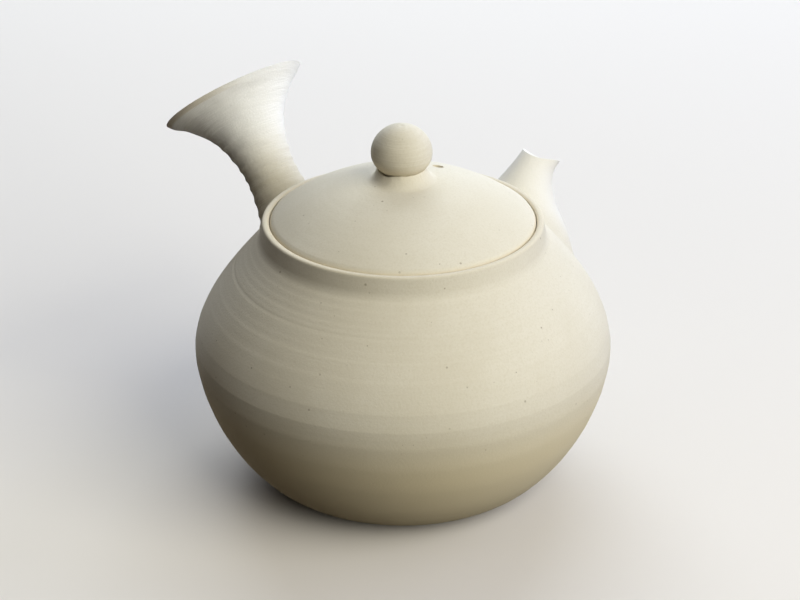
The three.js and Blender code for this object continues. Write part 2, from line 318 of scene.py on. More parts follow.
def moved(outline, distance):
    """The outline moved along its own normal."""
    run = np.gradient(outline, axis=0)
    length = np.hypot(run[:, 0], run[:, 1])[:, None]
    return outline + np.asarray(distance).reshape(-1, 1) * np.stack([run[:, 1], -run[:, 0]], 1) / length


def pot_relief(height, turn, depth):
    """How far the throwing lines and trimmed bands sink into the wall at a height and an angle round."""
    z = height / MM
    sunk = np.zeros_like(z)
    for line, deep, half, steep in POT_LINES:
        x = (z - line) / half
        x = np.where(x < 0, x * steep, x)
        sway = 0.78 + 0.22 * np.sin(turn * 2 + line * 1.7) + 0.12 * np.sin(turn * 5 + line)
        sunk += deep * sway * np.exp(-x * x)
    for top, bottom, deep in POT_BANDS:
        x = np.clip((z - bottom) / (top - bottom), 0, 1)
        sunk += deep * (1 - (2 * x - 1) ** 2) * (0.85 + 0.15 * np.sin(turn * 3 + top))
    return sunk * MM * depth


def turn_profile(bm, profile, sides):
    """Spins a profile of (radius, height) about the upright axis: a sector, doubled to a whole circle."""
    points = [bm.verts.new((max(r, 0.0), 0.0, z)) for r, z in profile]
    edges = [bm.edges.new(pair) for pair in zip(points, points[1:])]
    sector = 2 * math.pi / 16
    bmesh.ops.spin(
        bm, geom=points + edges, cent=(0, 0, 0), axis=(0, 0, 1),
        angle=sector, steps=sides // 16, use_merge=False,
    )
    for doubling in range(4):
        copy = bmesh.ops.duplicate(bm, geom=bm.verts[:] + bm.edges[:] + bm.faces[:])["geom"]
        fresh = [item for item in copy if isinstance(item, bmesh.types.BMVert)]
        turn = Matrix.Rotation(sector * 2**doubling, 3, "Z")
        bmesh.ops.rotate(bm, verts=fresh, cent=(0, 0, 0), matrix=turn)
    bmesh.ops.remove_doubles(bm, verts=bm.verts[:], dist=1e-6)
    bmesh.ops.recalc_face_normals(bm, faces=bm.faces[:])


def loft(bm, rings):
    """Carries a ring of vertices through closed rings of points by extruding its edges."""
    ring = bmesh.ops.create_circle(bm, cap_ends=False, radius=0.01, segments=len(rings[0]))["verts"]
    for vert, point in zip(ring, rings[0]):
        vert.co = Vector(point)
    edges = list({edge for vert in ring for edge in vert.link_edges})
    for points in rings[1:]:
        made = bmesh.ops.extrude_edge_only(bm, edges=edges)["geom"]
        fresh = {item for item in made if isinstance(item, bmesh.types.BMVert)}
        ring = [
            next(v for v in (edge.other_vert(vert) for edge in vert.link_edges) if v in fresh) for vert in ring
        ]
        edges = [
            item for item in made if isinstance(item, bmesh.types.BMEdge) and fresh.issuperset(item.verts)
        ]
        for vert, point in zip(ring, points):
            vert.co = Vector(point)
    bmesh.ops.remove_doubles(bm, verts=bm.verts[:], dist=1e-7)
    bmesh.ops.recalc_face_normals(bm, faces=bm.faces[:])


def add_object(name, data):
    """Links a new object with its mesh, lamp or camera into the scene."""
    made = bpy.data.objects.new(name, data)
    bpy.context.scene.collection.objects.link(made)
    return made


def mesh_from(bm, name):
    """Turns a bmesh into a named mesh and frees it."""
    mesh = bpy.data.meshes.new(name)
    bm.to_mesh(mesh)
    bm.free()
    return mesh


def check_closed(bm, name):
    """Stops the script when a mesh is empty or isn't a closed skin."""
    loose = sum(not edge.is_manifold for edge in bm.edges)
    if not bm.faces or loose:
        raise RuntimeError(f"{name} isn't closed: {len(bm.faces)} faces, {loose} open edges")


def finish_piece(bm, name, material, body, node, crease=40):
    """Turns the mesh into a smooth-shaded object that rides on a body and stands for a CAD node."""
    check_closed(bm, name)
    mesh = mesh_from(bm, name)
    mesh.shade_smooth()
    mesh.set_sharp_from_angle(angle=math.radians(crease))
    piece = add_object(name, mesh)
    mesh.materials.append(material)
    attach(piece, body)
    if node:
        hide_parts(node)
    return piece


def cut(piece, tool, crease):
    """Cuts one mesh object out of another and removes the tool."""
    modifier = piece.modifiers.new("Cut", "BOOLEAN")
    modifier.operation = "DIFFERENCE"
    modifier.solver = "EXACT"
    modifier.object = tool
    depsgraph = bpy.context.evaluated_depsgraph_get()
    mesh = bpy.data.meshes.new_from_object(piece.evaluated_get(depsgraph))
    old = piece.data
    piece.modifiers.clear()
    piece.data = mesh
    bpy.data.meshes.remove(old)
    bpy.data.objects.remove(tool)
    bm = bmesh.new()
    bm.from_mesh(mesh)
    crumb = 2e-6
    bmesh.ops.remove_doubles(bm, verts=bm.verts[:], dist=crumb)
    bmesh.ops.dissolve_degenerate(bm, edges=bm.edges[:], dist=crumb)
    check_closed(bm, piece.name)
    bm.to_mesh(mesh)
    bm.free()
    mesh.set_sharp_from_angle(angle=math.radians(crease))


def rods(name, places, diameter, length, sides):
    """An object of round rods, each at a point and along a direction, to cut holes with."""
    bm = bmesh.new()
    for point, along in places:
        turn = Vector((0, 0, 1)).rotation_difference(Vector(along)).to_matrix().to_4x4()
        bmesh.ops.create_cone(
            bm, cap_ends=True, segments=sides, radius1=diameter / 2, radius2=diameter / 2, depth=length,
            matrix=Matrix.Translation(Vector(point)) @ turn,
        )
    return add_object(name, mesh_from(bm, name))


class WallField:
    """Distance from the pot's outer wall, more than 0 outside it."""

    def __init__(self, pot):
        outline = pot_outline(pot, 60)
        top = [[outline[-1, 0], pot.rim_height], [0, pot.rim_height]]
        self.line = np.vstack([[0, 0], outline, top])
        self.outline = outline

    def __call__(self, points):
        r = np.hypot(points[..., 0], points[..., 1])
        z = points[..., 2]
        start = self.line[:-1]
        run = self.line[1:] - start
        size = (run**2).sum(1)
        dr = r[..., None] - start[:, 0]
        dz = z[..., None] - start[:, 1]
        t = np.clip((dr * run[:, 0] + dz * run[:, 1]) / size, 0, 1)
        away = np.hypot(dr - t * run[:, 0], dz - t * run[:, 1]).min(-1)
        side = np.interp(z, self.outline[:, 1], self.outline[:, 0], left=self.outline[0, 0])
        inside = (r < side) & (z > 0) & (z < self.line[-1, 1])
        return np.where(inside, -away, away)

    def shoulder_height(self, radius):
        """How high the shoulder is at a distance from the upright axis."""
        upper = self.outline[self.outline[:, 1] > 0.045][::-1]
        return float(np.interp(radius, upper[:, 0], upper[:, 1]))


def luted_rings(wall, path, radius, start, fillet, sides, steps, reach, step=0.0004):
    """Rings of an outer skin that runs from a mouth down to the pot's wall and blends into it.

    path(s, turn) gives the axis point and the outward direction at a distance s from the mouth,
    radius(s, turn) the skin's distance from the axis and start(turn) the s of the mouth. Each ray's skin
    is the smooth union of the tube and the wall, followed in small steps until it has left the tube by
    the width of the fillet."""
    turn = np.arange(sides) * 2 * math.pi / sides
    tiny = 1e-5

    def place(s, rho):
        centre, outward = path(s, turn)
        return centre + outward * rho[:, None]

    def union(s, rho):
        a = wall(place(s, rho))
        b = rho - radius(s, turn)
        h = np.maximum(fillet - np.abs(a - b), 0) / fillet
        return np.minimum(a, b) - h * h * fillet / 4

    def slopes(s, rho):
        here = union(s, rho)
        return here, (union(s + tiny, rho) - here) / tiny, (union(s, rho + tiny) - here) / tiny

    s = start(turn)
    rho = radius(s, turn)
    trail = [(s.copy(), rho.copy())]
    done = np.full(sides, -1)
    for i in range(int(reach / step)):
        here, ds, dr = slopes(s, rho)
        size = np.maximum(np.hypot(ds, dr), 1e-6)
        s = s + step * dr / size
        rho = rho - step * ds / size
        for _ in range(2):
            here, ds, dr = slopes(s, rho)
            size = np.maximum(ds**2 + dr**2, 1e-6)
            s = s - here * ds / size
            rho = rho - here * dr / size
        trail.append((s.copy(), rho.copy()))
        left = (rho - radius(s, turn) > fillet) & (done < 0)
        done[left] = i + 2
        if (done > 0).all():
            break
    done[done < 0] = len(trail)
    trail = np.array(trail)
    rays = np.arange(sides)
    rings = []
    for share in np.linspace(0, 1, steps):
        at = share * (done - 1)
        low = np.minimum(at.astype(int), len(trail) - 2)
        f = at - low
        between = [trail[low, i, rays] * (1 - f) + trail[low + 1, i, rays] * f for i in (0, 1)]
        rings.append(place(*between))
    return rings


def bore_rings(wall, path, radius, start, sides, steps, reach, sunk):
    """Rings of the inner skin, from the mouth down to a little under the pot's outer wall."""
    turn = np.arange(sides) * 2 * math.pi / sides
    first = start(turn)
    end = np.full(sides, reach)

    def skin(s):
        centre, outward = path(s, turn)
        return centre + outward * radius(s, turn)[:, None]

    for share in np.linspace(1, 0, 160):
        s = first + (reach - first) * share
        end = np.where(wall(skin(s)) + sunk < 0, s, end)
    return [skin(first + (end - first) * share) for share in np.linspace(0, 1, steps)]


def sink_under(points, ring, depth, fade):
    """How far the pot's wall draws back under a luted piece, whose edge on the wall is a ring of points."""
    around = np.arctan2(ring[:, 1], ring[:, 0])
    middle = math.atan2(np.sin(around).mean(), np.cos(around).mean())
    size = np.hypot(ring[:, 0], ring[:, 1]).mean()

    def flat(p):
        angle = np.arctan2(p[:, 1], p[:, 0]) - middle
        angle = (angle + math.pi) % (2 * math.pi) - math.pi
        return np.stack([angle * size, p[:, 2] * 1.35], 1)

    edge = flat(ring)
    p = flat(points)
    inside = np.zeros(len(p), bool)
    away = np.full(len(p), 1.0)
    for a, b in zip(edge, np.roll(edge, -1, 0)):
        run = b - a
        t = np.clip(((p - a) @ run) / max(run @ run, 1e-12), 0, 1)
        away = np.minimum(away, np.hypot(*(p - a - t[:, None] * run).T))
        crosses = ((a[1] > p[:, 1]) != (b[1] > p[:, 1])) & (
            p[:, 0] < (b[0] - a[0]) * (p[:, 1] - a[1]) / (b[1] - a[1] + 1e-15) + a[0]
        )
        inside ^= crosses
    return np.where(inside, depth * smooth_step((away - 0.0002) / fade), 0.0)


def spout_frame(s, turn):
    """The spout's axis, the outward directions and the share of its length at distances from its tip."""
    corners = np.array(SPOUT_LINE) * MM
    down = bezier(list(corners), np.linspace(0, 1, 400)[:, None])[::-1]
    arc = np.concatenate([[0], np.cumsum(np.hypot(*np.diff(down, axis=0).T))])
    over = np.clip(s, 0, arc[-1])
    x = np.interp(over, arc, down[:, 0])
    z = np.interp(over, arc, down[:, 1])
    nose = unit(corners[2] - corners[1])
    root = unit(corners[1] - corners[0])
    share = np.interp(over, arc, np.linspace(0, 1, len(arc)))
    tangent = np.gradient(down, axis=0)
    tangent = -tangent / np.hypot(*tangent.T)[:, None]
    ax = np.interp(over, arc, tangent[:, 0])
    az = np.interp(over, arc, tangent[:, 1])
    size = np.hypot(ax, az)
    ax, az = ax / size, az / size
    x = x - np.minimum(s, 0) * nose[0] - np.maximum(s - arc[-1], 0) * root[0]
    z = z - np.minimum(s, 0) * nose[1] - np.maximum(s - arc[-1], 0) * root[1]
    centre = np.stack([x, np.zeros_like(x), z], 1)
    outward = np.stack([np.cos(turn) * az, np.sin(turn), -np.cos(turn) * ax], 1)
    return centre, outward, share


def oval(depth, width, turn):
    """Radius of an oval section at an angle round it."""
    return depth * width / np.hypot(width * np.cos(turn), depth * np.sin(turn))


def make_group(name, inputs, outputs):
    """An empty shader node group with named sockets."""
    group = bpy.data.node_groups.new(name, "ShaderNodeTree")
    for label, kind, value in inputs:
        socket = group.interface.new_socket(name=label, in_out="INPUT", socket_type=kind)
        if value is not None:
            socket.default_value = value
    for label, kind in outputs:
        group.interface.new_socket(name=label, in_out="OUTPUT", socket_type=kind)
    return group, group.nodes.new("NodeGroupInput"), group.nodes.new("NodeGroupOutput")


def feed(tree, socket, value):
    """Links another socket into this one, or sets its number or colour."""
    if isinstance(value, bpy.types.NodeSocket):
        tree.links.new(value, socket)
    elif isinstance(value, (int, float)):
        socket.default_value = value
    else:
        socket.default_value = (*value[:3], 1.0)


def math_node(tree, operation, a, b=0.5, c=0.5, clamp=False):
    """A sum, product or the like of sockets and numbers."""
    node = tree.nodes.new("ShaderNodeMath")
    node.operation = operation
    node.use_clamp = clamp
    for socket, value in zip(node.inputs, (a, b, c)):
        feed(tree, socket, value)
    return node.outputs[0]


def ramp(tree, value, low, high, to_low=0.0, to_high=1.0):
    """An eased run from one number to another while the value goes from low to high."""
    node = tree.nodes.new("ShaderNodeMapRange")
    node.interpolation_type = "SMOOTHSTEP"
    names = ("Value", "From Min", "From Max", "To Min", "To Max")
    for name, given in zip(names, (value, low, high, to_low, to_high)):
        feed(tree, node.inputs[name], given)
    return node.outputs["Result"]


def noise_node(tree, vector, scale, detail, roughness):
    """Soft random patches, more of them where the scale is higher."""
    node = tree.nodes.new("ShaderNodeTexNoise")
    for name, given in (("Vector", vector), ("Scale", scale), ("Detail", detail), ("Roughness", roughness)):
        feed(tree, node.inputs[name], given)
    return node.outputs["Fac"]


def mix_colour(tree, factor, a, b):
    """Colour a turning into colour b as the factor goes from 0 to 1."""
    node = tree.nodes.new("ShaderNodeMix")
    node.data_type = "RGBA"
    for index, value in ((0, factor), (6, a), (7, b)):
        feed(tree, node.inputs[index], value)
    return node.outputs[2]


def clay_group():
    """Mottled clay with sparse iron specks: its colour, roughness and grain height."""
    name = "Speckled clay"
    if name in bpy.data.node_groups:
        return bpy.data.node_groups[name]
    group, inside, outside = make_group(
        name,
        (
            ("Vector", "NodeSocketVector", None),
            ("Clay", "NodeSocketColor", (0.7, 0.65, 0.52, 1)),
            ("Darker clay", "NodeSocketColor", (0.6, 0.55, 0.42, 1)),
            ("Speck colour", "NodeSocketColor", (0.2, 0.15, 0.08, 1)),
            ("Mottling", "NodeSocketFloat", 0.35),
            ("Speck share", "NodeSocketFloat", 0.1),
        ),
        (("Color", "NodeSocketColor"), ("Roughness", "NodeSocketFloat"), ("Height", "NodeSocketFloat")),
    )
    vector = inside.outputs["Vector"]
    cloud = noise_node(group, vector, 38, 3, 0.55)
    fine = noise_node(group, vector, 1700, 2, 0.6)
    mottle = math_node(group, "MULTIPLY", ramp(group, cloud, 0.35, 0.7), inside.outputs["Mottling"])
    colour = mix_colour(group, mottle, inside.outputs["Clay"], inside.outputs["Darker clay"])
    sand = math_node(group, "MULTIPLY", ramp(group, fine, 0.4, 0.75), 0.42)
    colour = mix_colour(group, sand, colour, inside.outputs["Darker clay"])
    heights = math_node(group, "MULTIPLY", fine, 0.5)
    for size, share, radius in ((165, 1.0, 0.055), (420, 2.6, 0.115)):
        cells = group.nodes.new("ShaderNodeTexVoronoi")
        group.links.new(vector, cells.inputs["Vector"])
        cells.inputs["Scale"].default_value = size
        split = group.nodes.new("ShaderNodeSeparateColor")
        group.links.new(cells.outputs["Color"], split.inputs["Color"])
        limit = math_node(group, "MULTIPLY", inside.outputs["Speck share"], share)
        chosen = math_node(group, "LESS_THAN", split.outputs["Red"], limit)
        grow = math_node(group, "MULTIPLY_ADD", split.outputs["Green"], radius, radius * 0.5)
        near = math_node(group, "DIVIDE", cells.outputs["Distance"], grow)
        dot = ramp(group, near, 1.1, 0.45)
        strength = math_node(group, "MULTIPLY_ADD", split.outputs["Blue"], 0.5, 0.15)
        mask = math_node(group, "MULTIPLY", math_node(group, "MULTIPLY", dot, chosen), strength)
        colour = mix_colour(group, mask, colour, inside.outputs["Speck colour"])
        heights = math_node(group, "SUBTRACT", heights, math_node(group, "MULTIPLY", mask, 0.5))
    group.links.new(colour, outside.inputs["Color"])
    rough = ramp(group, fine, 0.2, 0.8, 0.74, 0.9)
    group.links.new(rough, outside.inputs["Roughness"])
    grain = noise_node(group, vector, 1500, 2, 0.6)
    total = math_node(group, "ADD", heights, math_node(group, "MULTIPLY", grain, 0.6))
    group.links.new(total, outside.inputs["Height"])
    return group


def turning_group():
    """Fine lines round a turned piece, which sway a little: their height, and the tone of their streaks."""
    name = "Turning lines"
    if name in bpy.data.node_groups:
        return bpy.data.node_groups[name]
    group, inside, outside = make_group(
        name,
        (
            ("Vector", "NodeSocketVector", None),
            ("Lines", "NodeSocketFloat", 900.0),
            ("Length", "NodeSocketFloat", 12.0),
        ),
        (("Height", "NodeSocketFloat"), ("Tone", "NodeSocketFloat")),
    )
    split = group.nodes.new("ShaderNodeSeparateXYZ")
    group.links.new(inside.outputs["Vector"], split.inputs["Vector"])

    def stretched(along):
        vector = group.nodes.new("ShaderNodeCombineXYZ")
        for axis in "XY":
            across = math_node(group, "MULTIPLY", split.outputs[axis], inside.outputs["Length"])
            group.links.new(across, vector.inputs[axis])
        group.links.new(along, vector.inputs["Z"])
        return vector.outputs["Vector"]

    close = math_node(group, "MULTIPLY", split.outputs["Z"], inside.outputs["Lines"])
    lines = noise_node(group, stretched(close), 1.0, 3, 0.65)
    waves = noise_node(group, stretched(math_node(group, "MULTIPLY", close, 0.22)), 1.0, 1, 0.5)
    total = math_node(group, "ADD", math_node(group, "MULTIPLY", lines, 0.6), waves)
    group.links.new(total, outside.inputs["Height"])
    group.links.new(ramp(group, lines, 0.35, 0.65), outside.inputs["Tone"])
    return group


def clay_material(
    name, clay, origin=(0, 0, 0), turn=(0, 0, 0), lines=900.0, line_height=0.00012, length=12.0,
    tone=0.16, grain=0.00005, specks=0.1, mottling=0.35, washes=(),
):
    """Fired clay for one piece. Its turning lines run round the axis that the origin and turn give, and
    each wash is a colour with a function that says where it lies."""
    material = bpy.data.materials.new(name)
    material.use_nodes = True
    tree = material.node_tree
    shader = tree.nodes["Principled BSDF"]
    place = tree.nodes.new("ShaderNodeTexCoord")
    mapping = tree.nodes.new("ShaderNodeMapping")
    mapping.vector_type = "TEXTURE"
    mapping.inputs["Location"].default_value = origin
    mapping.inputs["Rotation"].default_value = turn
    tree.links.new(place.outputs["Object"], mapping.inputs["Vector"])

    def placed(group, values):
        node = tree.nodes.new("ShaderNodeGroup")
        node.node_tree = group
        for label, value in values.items():
            feed(tree, node.inputs[label], value)
        return node

    speckled = placed(clay_group(), {
        "Vector": place.outputs["Object"], "Clay": clay.body, "Darker clay": clay.shade,
        "Speck colour": clay.speck, "Mottling": mottling, "Speck share": specks,
    })
    turned = placed(turning_group(), {"Vector": mapping.outputs["Vector"], "Lines": lines, "Length": length})
    colour = speckled.outputs["Color"]
    streaks = math_node(tree, "MULTIPLY", turned.outputs["Tone"], tone * clay.streaks)
    colour = mix_colour(tree, streaks, colour, clay.shade)
    for wash, where in washes:
        colour = mix_colour(tree, where(tree, mapping.outputs["Vector"]), colour, wash)
    tree.links.new(colour, shader.inputs["Base Color"])
    tree.links.new(speckled.outputs["Roughness"], shader.inputs["Roughness"])
    shader.inputs["Specular IOR Level"].default_value = 0.28
    normal = shader.inputs["Normal"]
    for source, distance in ((speckled, grain * clay.grain), (turned, line_height * clay.streaks)):
        bump = tree.nodes.new("ShaderNodeBump")
        bump.inputs["Strength"].default_value = 1.0
        bump.inputs["Distance"].default_value = distance
        tree.links.new(source.outputs["Height"], bump.inputs["Height"])
        tree.links.new(bump.outputs["Normal"], normal)
        normal = bump.inputs["Normal"]
    return material


def radius_and_height(tree, vector):
    """The distance from the upright axis and the height of a shaded point."""
    split = tree.nodes.new("ShaderNodeSeparateXYZ")
    tree.links.new(vector, split.inputs["Vector"])
    across = [math_node(tree, "POWER", split.outputs[axis], 2.0) for axis in "XY"]
    square = math_node(tree, "ADD", *across)
    return math_node(tree, "SQRT", square), split.outputs["Z"]


def spout_path(s, turn):
    """The spout's axis and the outward directions."""
    return spout_frame(s, turn)[:2]


def spout_radius(s, turn, inset=0.0):
    """The spout's radius, which draws in again under the wall."""
    share = spout_frame(s, turn)[2]
    under_wall = np.maximum(s - 0.0265, 0)
    dive = 18 * under_wall**2
    depth = spline(SPOUT_HALF_DEPTHS[::-1], share) * MM - inset - dive
    width = spline(SPOUT_HALF_WIDTHS[::-1], share) * MM - inset - dive
    return oval(depth, width, turn)


def spout_start(spout, inset=0.0, lower=0.0):
    """Where the leaning mouth cuts the tube on each side, as a distance from the tip."""
    nose = unit(np.subtract(SPOUT_LINE[2], SPOUT_LINE[1]))
    lean = np.array([math.cos(spout.mouth_rise), math.sin(spout.mouth_rise)])

    def start(turn):
        outward = np.stack([np.cos(turn) * nose[1], -np.cos(turn) * nose[0]], 1)
        size = spout_radius(np.zeros_like(turn), turn, inset)
        dip = 0.00035 - 0.0004 * np.cos(2 * turn - math.radians(260))
        return size * (outward @ lean) / (nose @ lean) + dip + lower

    return start


def handle_axis(handle, wall):
    """The seat on the shoulder, the direction up the handle and two directions across it."""
    away = Vector((math.cos(handle.azimuth), math.sin(handle.azimuth), 0))
    along = away * math.cos(handle.rise) + Vector((0, 0, math.sin(handle.rise)))
    seat = away * HANDLE_SEAT_RADIUS + Vector((0, 0, wall.shoulder_height(HANDLE_SEAT_RADIUS)))
    side = Vector((0, 0, 1)).cross(away).normalized()
    front = along.cross(side).normalized()
    return np.array(seat), np.array(along), np.array(front), np.array(side)


def handle_functions(handle, wall):
    """The handle's axis, its radius and the level of its mouth, at distances s down from the mouth."""
    seat, along, front, side = handle_axis(handle, wall)
    top = HANDLE_STATIONS[-1] * MM
    flare = HANDLE_STATIONS[-2] * MM
    fine = spline(HANDLE_STATIONS, np.linspace(0, 1, 600)) * MM
    radii = spline(HANDLE_RADII, np.linspace(0, 1, 600)) * MM

    def path(s, turn):
        centre = seat + along * (top - s)[:, None]
        outward = np.cos(turn)[:, None] * front + np.sin(turn)[:, None] * side
        return centre, outward

    crease = 0.0015
    plain_crease = np.interp(top - crease, fine, radii)

    def radius(s, turn, inset=0.0, ridges=1.0):
        a = top - s
        grown = 0.0006 * (0.62 + 0.38 * np.cos(turn - FLARE_SIDE))
        plain = np.interp(a, fine, radii) + grown * smooth_step((a - flare) / (top - crease - flare)) ** 2
        at_crease = plain_crease + grown
        lip = at_crease + (HANDLE_RADII[-1] * MM - 0.0001 - at_crease) * (crease - s) / crease
        plain = np.where(s < crease, lip, plain) - inset
        phase = a / handle.ridge_pitch * 2 * math.pi + 0.5 * np.sin(turn) + 0.8 * np.sin(a * 420)
        wave = 0.5 + 0.5 * np.sin(phase)
        fade = smooth_step((0.034 - a) / 0.012) * smooth_step((a + 0.006) / 0.006)
        side_fade = 0.8 + 0.2 * np.cos(turn - 2.2)
        return plain - ridges * handle.ridge_depth * (1 - wave**1.6) * fade * side_fade

    return path, radius, np.zeros_like


class KYUSU_OT_throw_pot(bpy.types.Operator):
    """Spin the pot's wall, cut its throwing lines and draw it back under the spout and handle"""

    bl_idname = "kyusu.throw_pot"
    bl_label = "Throw the pot"

    def execute(self, context):
        pot = context.scene.kyusu_pot
        ledge = pot.rim_height - LEDGE_DEPTH
        seat = pot.rim_radius - pot.lip_width
        mouth = seat - LEDGE_WIDTH
        throat = ledge - LEDGE_THICKNESS
        inner = moved(pot_outline(pot, 30), -pot.wall)
        inner = inner[(inner[:, 1] > pot.floor + 0.0012) & (inner[:, 1] < throat - 0.001)][::-1]
        low = inner[-1, 0]
        profile = [(0, 0.0006), (pot.base_radius * 0.5, 0.0004)]
        profile += [(pot.base_radius - 0.003, 0.0), (pot.base_radius - 0.0008, 0.0)]
        profile += [tuple(p) for p in pot_outline(pot)]
        profile += self.collar(pot)
        profile += [(seat + 0.00035, pot.rim_height - 0.00016), (seat + 0.0001, pot.rim_height - 0.00038)]
        profile += [(seat, pot.rim_height - 0.001), (seat, ledge + 0.0004), (seat - 0.0003, ledge + 0.0001)]
        profile += [(seat - 0.0006, ledge), (mouth + 0.0006, ledge), (mouth + 0.0001, ledge - 0.0004)]
        profile += [(mouth, ledge - 0.001), (mouth, throat + 0.0008), (mouth + 0.0008, throat - 0.0004)]
        profile += [tuple(p) for p in inner]
        profile += [(low - 0.0014, pot.floor + 0.0004), (low - 0.004, pot.floor)]
        profile += [(low * 0.5, pot.floor), (0, pot.floor)]
        bm = bmesh.new()
        turn_profile(bm, profile, pot.sides)
        material = self.material(pot, context.scene.kyusu_clay)
        piece = finish_piece(bm, "pot_wall", material, "pot", "pot_body", 35)
        self.cut_lines(context, piece)
        return {"FINISHED"}

    def collar(self, pot):
        """The upright part of the neck with its rounded lip."""
        foot = pot.rim_height - pot.collar_height
        r = pot.rim_radius
        return [
            (r - inset * MM, foot + rise * MM)
            for inset, rise in (
                (-0.41, 0.6), (-0.28, 1.4), (-0.17, 2.1), (-0.07, 2.75), (0.01, 3.25),
                (0.06, 3.55), (0.1, 3.78), (0.16, 3.97), (0.26, 4.13), (0.41, 4.27),
                (0.62, 4.37), (0.88, 4.4), (1.25, 4.4), (1.55, 4.37),
            )
        ]

    def material(self, pot, clay):
        """Clay with painted bounce light, warmer towards the bottom of the pot, and a warmer lip: its own warm
        tint over the rim's top, with painted shade stronger at the inner edge beside the lid.
        """

        # The lip wash is partly the rim's own warm tint over its top and partly painted shade, stronger at the
        # inner edge beside the lid.
        def lip(tree, vector):
            r, z = radius_and_height(tree, vector)
            high = ramp(tree, z, pot.rim_height - 0.0007, pot.rim_height - 0.0002, 0.0, 0.45)
            inner = ramp(tree, r, pot.rim_radius - 0.0012, pot.rim_radius - 0.0021, 0.0, 1.0)
            return math_node(tree, "MULTIPLY", high, math_node(tree, "ADD", inner, 0.55))

        # Painted bounce light: the clay turns warmer towards the bottom.
        def low(tree, vector):
            return ramp(tree, radius_and_height(tree, vector)[1], 0.046, 0.024, 0.0, 0.9)

        return clay_material(
            "Pot clay", clay, lines=1500, line_height=0.00003, length=7, tone=0.1, grain=0.00006,
            washes=((clay.warm, low), (clay.lip, lip)),
        )

    def cut_lines(self, context, piece):
        """Sinks the throwing lines into the wall, makes it uneven and draws it back under the skirts."""
        pot = context.scene.kyusu_pot
        mesh = piece.data
        co = np.zeros(len(mesh.vertices) * 3)
        mesh.vertices.foreach_get("co", co)
        co = co.reshape(-1, 3)
        r = np.hypot(co[:, 0], co[:, 1])
        turn = np.arctan2(co[:, 1], co[:, 0])
        outline = pot_outline(pot)
        outer = (np.abs(r - np.interp(co[:, 2], outline[:, 1], outline[:, 0])) < 2e-5) & (co[:, 2] > 0.003)
        outer &= co[:, 2] < outline[-1, 1]
        away = -pot_relief(co[:, 2], turn, pot.line_depth)
        wobble = np.sin(turn * 2 + 0.7) * 0.00006
        wobble = wobble + np.sin(turn * 3 + 2.1 + co[:, 2] * 60) * 0.00004 - 0.0001
        fade = smooth_step((outline[-1, 1] - co[:, 2]) / 0.006) * smooth_step((co[:, 2] - 0.003) / 0.006)
        z = co[:, 2] / MM
        full_side = math.radians(-36)
        full_width = math.radians(24)
        fullness = 0.00068
        full = np.exp(-(((turn - full_side) / full_width) ** 2))
        full *= smooth_step((z - 42) / 18) * smooth_step((75.5 - z) / 4)
        away = away + wobble * fade + fullness * full
        near = outer & (co[:, 2] > 0.035)
        dip = np.zeros(len(co))
        calm = np.ones(len(co))
        for edge in self.skirt_edges(context):
            dip[near] = np.maximum(dip[near], sink_under(co[near], edge, SINK_DEPTH, SINK_FADE))
            calm[near] *= smooth_step(distance_to(co[near], edge) / CALM_WIDTH)
        shift = np.where(outer, away * calm - dip, 0.0)
        slope = np.interp(co[:, 2], outline[:, 1], np.gradient(outline[:, 0], outline[:, 1]))
        size = np.hypot(1, slope)
        scale = 1 + shift / size / np.maximum(r, 1e-6)
        co[:, 0] *= scale
        co[:, 1] *= scale
        co[:, 2] -= shift * slope / size
        mesh.vertices.foreach_set("co", co.ravel())
        mesh.update()

    def skirt_edges(self, context):
        """The rings where the skirts of the spout and the handle end on the wall."""
        spout = context.scene.kyusu_spout
        handle = context.scene.kyusu_handle
        wall = WallField(context.scene.kyusu_pot)
        for functions, fillet, reach in (
            ((spout_path, spout_radius, spout_start(spout)), spout.fillet, SPOUT_REACH),
            (handle_functions(handle, wall), handle.fillet, HANDLE_REACH),
        ):
            yield luted_rings(wall, *functions, fillet, 72, 2, reach, 0.001)[-1]


def distance_to(points, ring):
    """How far each point is from the nearest point of a ring."""
    return np.sqrt(((points[:, None, :] - ring[None, :, :]) ** 2).sum(-1)).min(1)


class KYUSU_OT_lute_spout(bpy.types.Operator):
    """Loft the spout from its cut mouth down to a skirt that runs out into the shoulder"""

    bl_idname = "kyusu.lute_spout"
    bl_label = "Lute on the spout"

    def execute(self, context):
        spout = context.scene.kyusu_spout
        clay = context.scene.kyusu_clay
        wall = WallField(context.scene.kyusu_pot)
        sides = 144
        cut_inside = 0.0009
        outer = luted_rings(
            wall, spout_path, spout_radius, spout_start(spout), spout.fillet, sides, 110, SPOUT_REACH
        )
        inner = bore_rings(
            wall, spout_path, lambda s, turn: spout_radius(s, turn, spout.wall),
            spout_start(spout, spout.wall, cut_inside), sides, 30, SPOUT_LENGTH, BORE_SUNK,
        )
        bm = bmesh.new()
        loft(bm, lipped(outer, inner, rounding=0.0002, crest=0.12))
        material = clay_material(
            "Spout clay", clay, lines=260, line_height=0.00006, length=160, specks=0.05, grain=0.00009,
            washes=((clay.pale, self.painted_light),),
        )
        finish_piece(bm, "spout_skin", material, "pot", "spout", 60)
        return {"FINISHED"}

    def painted_light(self, tree, vector):
        """Painted light: paler from the shoulder's slope out towards the spout's tip, standing in for the
        brighter light that falls on the spout.
        """
        radius, height = radius_and_height(tree, vector)
        upward = math_node(tree, "MULTIPLY", height, math.cos(SHOULDER_SLOPE))
        out = math_node(tree, "MULTIPLY_ADD", radius, math.sin(SHOULDER_SLOPE), upward)
        return ramp(tree, out, 0.0795, 0.088, 0.0, 0.55)


